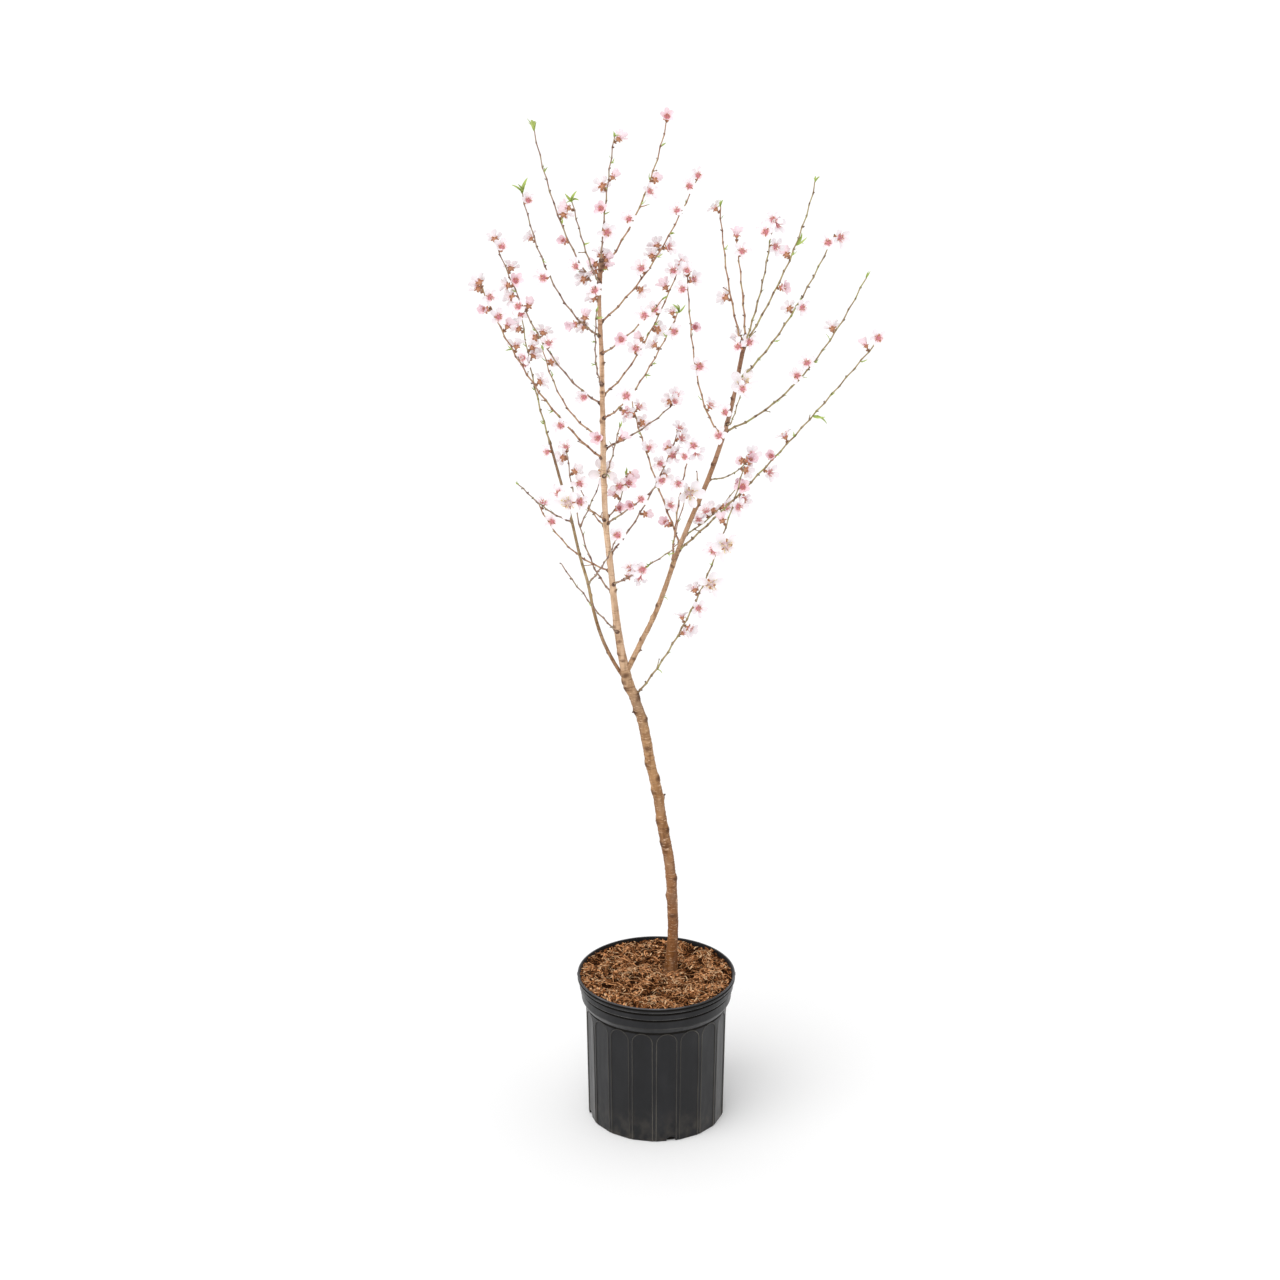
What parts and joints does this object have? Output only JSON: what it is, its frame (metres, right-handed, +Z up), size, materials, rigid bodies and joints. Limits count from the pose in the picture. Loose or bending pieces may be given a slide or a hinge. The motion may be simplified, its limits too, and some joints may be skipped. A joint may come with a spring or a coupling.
{
  "type": "potted dwarf peach tree",
  "caption": "Young dwarf peach tree in early spring, bare twigs with pink blossom and small leaf tufts, standing in a round fluted black nursery pot filled with bark mix.",
  "frame": {"origin": "middle of the pot's flat underside", "axes": "+Z up along the plant, +X towards the right bough, -Y to the front"},
  "size_m": [0.4075, 0.2411, 1.1084],
  "materials": {
    "pot_plastic": "blow-moulded black plastic, semi-matte, a little dusty",
    "bark_mix": "rough fibrous bark mix",
    "trunk_bark": "thin tan-brown bark, satin",
    "bough_bark": "light tan young bark, satin",
    "blossom_twigs": "brown twigs with soft pink petals and fresh green leaves"
  },
  "bodies": {
    "root": {"pot": "pot_plastic", "soil": "bark_mix", "trunk": "trunk_bark", "leader": "bough_bark", "right_bough": "bough_bark", "left_bough": "bough_bark", "trunk_shoot": "blossom_twigs", "leader_left_1": "blossom_twigs", "leader_left_2": "blossom_twigs", "leader_left_3": "blossom_twigs", "leader_left_4": "blossom_twigs", "leader_left_5": "blossom_twigs", "leader_left_6": "blossom_twigs", "leader_left_7": "blossom_twigs", "leader_left_8": "blossom_twigs", "leader_left_9": "blossom_twigs", "leader_left_10": "blossom_twigs", "leader_left_11": "blossom_twigs", "leader_front": "blossom_twigs", "leader_right_1": "blossom_twigs", "leader_right_2": "blossom_twigs", "leader_right_3": "blossom_twigs", "leader_right_4": "blossom_twigs", "leader_right_5": "blossom_twigs", "leader_right_6": "blossom_twigs", "leader_right_7": "blossom_twigs", "leader_right_8": "blossom_twigs", "leader_right_9": "blossom_twigs", "leader_right_10": "blossom_twigs", "leader_right_11": "blossom_twigs", "leader_top": "blossom_twigs", "left_bough_right_1": "blossom_twigs", "left_bough_left_1": "blossom_twigs", "left_bough_tip": "blossom_twigs", "right_bough_left_1": "blossom_twigs", "right_bough_left_2": "blossom_twigs", "right_bough_left_3": "blossom_twigs", "right_bough_left_4": "blossom_twigs", "right_bough_left_5": "blossom_twigs", "right_bough_back": "blossom_twigs", "right_bough_top": "blossom_twigs", "right_bough_right_1": "blossom_twigs", "right_bough_right_2": "blossom_twigs", "right_bough_right_3": "blossom_twigs", "right_bough_right_4": "blossom_twigs", "right_bough_right_5": "blossom_twigs", "right_bough_right_6": "blossom_twigs", "right_bough_right_7": "blossom_twigs", "right_bough_right_8": "blossom_twigs"}
  },
  "joints": []
}
